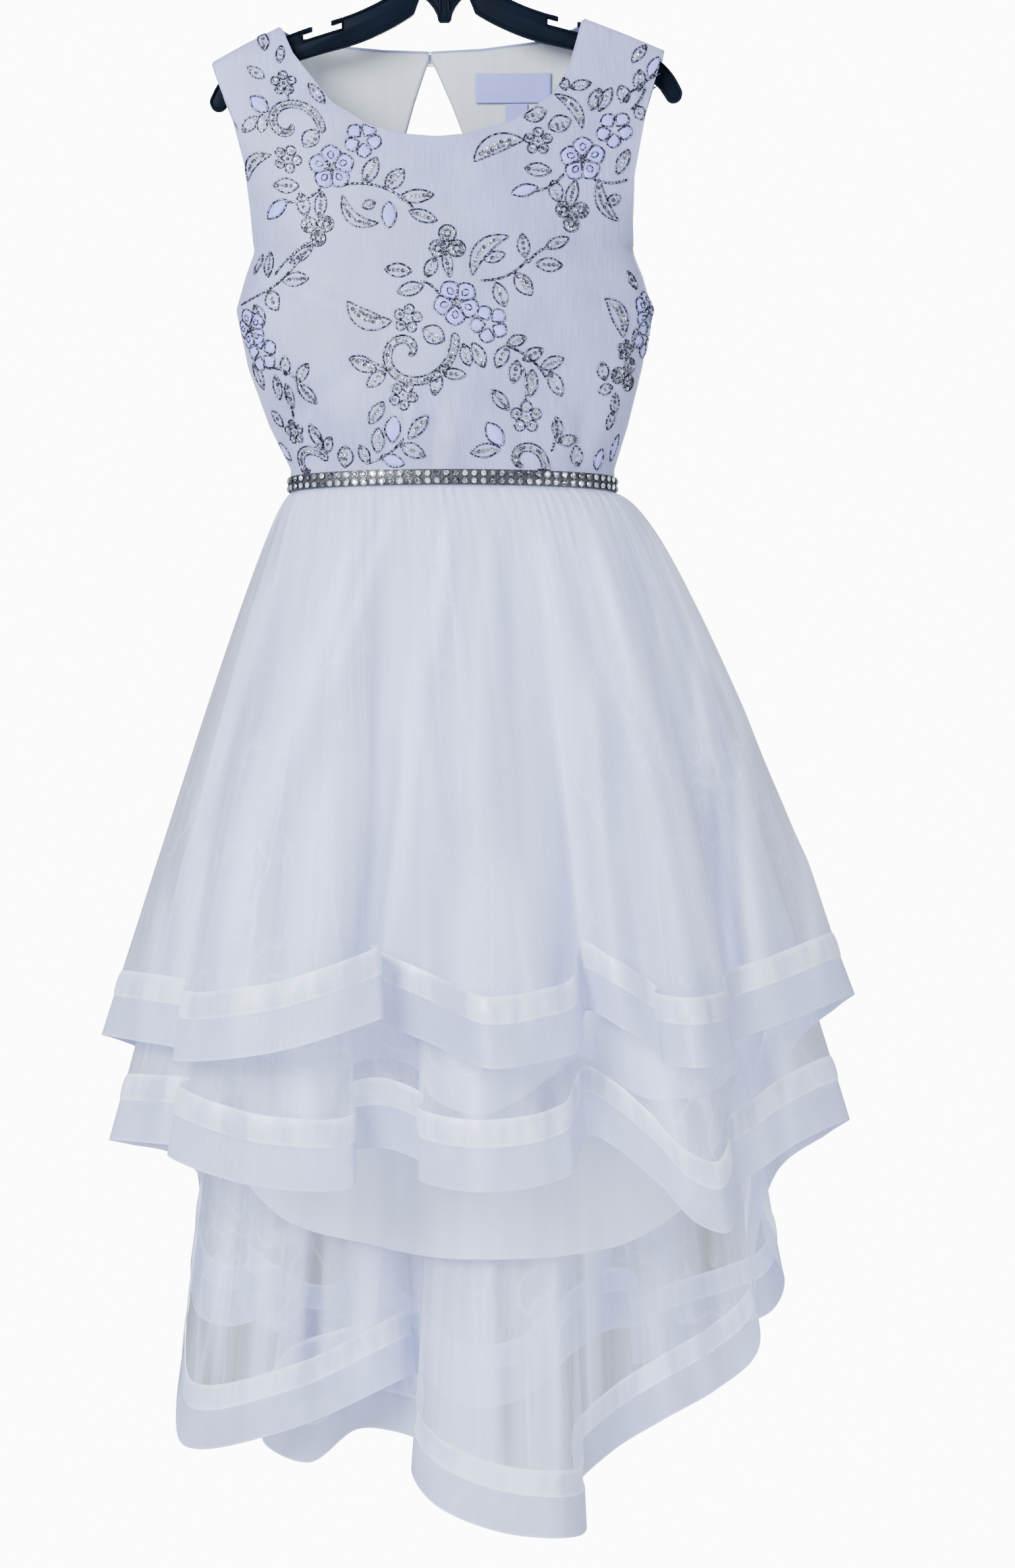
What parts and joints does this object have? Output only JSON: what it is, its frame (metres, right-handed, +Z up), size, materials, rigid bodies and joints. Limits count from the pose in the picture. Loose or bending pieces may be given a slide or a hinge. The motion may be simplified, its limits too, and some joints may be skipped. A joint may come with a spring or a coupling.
{
  "type": "party dress on a clothes hanger",
  "caption": "Girl's sleeveless party dress with a jewelled belt and a gathered net skirt, longer behind, on a moulded hanger.",
  "frame": {"origin": "inside of the hook's crown, where a rail carries the hanger", "axes": "+Z up along the hang, +X to the viewer's right, -Y towards the viewer and the dress's front"},
  "size_m": [0.5638, 0.3204, 1.2612],
  "materials": {
    "bodice": "satin cloth with raised embroidery",
    "back_lining": "smooth woven",
    "net": "fine sheer net",
    "band": "horsehair braid with a satin edge",
    "skirt_lining": "smooth woven",
    "belt": "cut stones in metal settings",
    "hanger": "moulded, near black",
    "hook": "bright wire",
    "button": "cloth covered",
    "label": "woven satin"
  },
  "bodies": {
    "root": {"bodice_front": "bodice", "bodice_back_left": "bodice", "bodice_back_right": "bodice", "back_lining_left": "back_lining", "back_lining_right": "back_lining", "belt": "belt", "net_outer_front": "net", "net_outer_back": "net", "net_inner_front": "net", "net_inner_back": "net", "band_outer_front": "band", "band_outer_back": "band", "band_inner_front": "band", "band_inner_back": "band", "skirt_lining_front": "skirt_lining", "skirt_lining_back": "skirt_lining", "button": "button", "button_loop": "button", "label": "label", "size_tag": "label", "hanger_body": "hanger", "hanger_hook": "hook"}
  },
  "joints": []
}
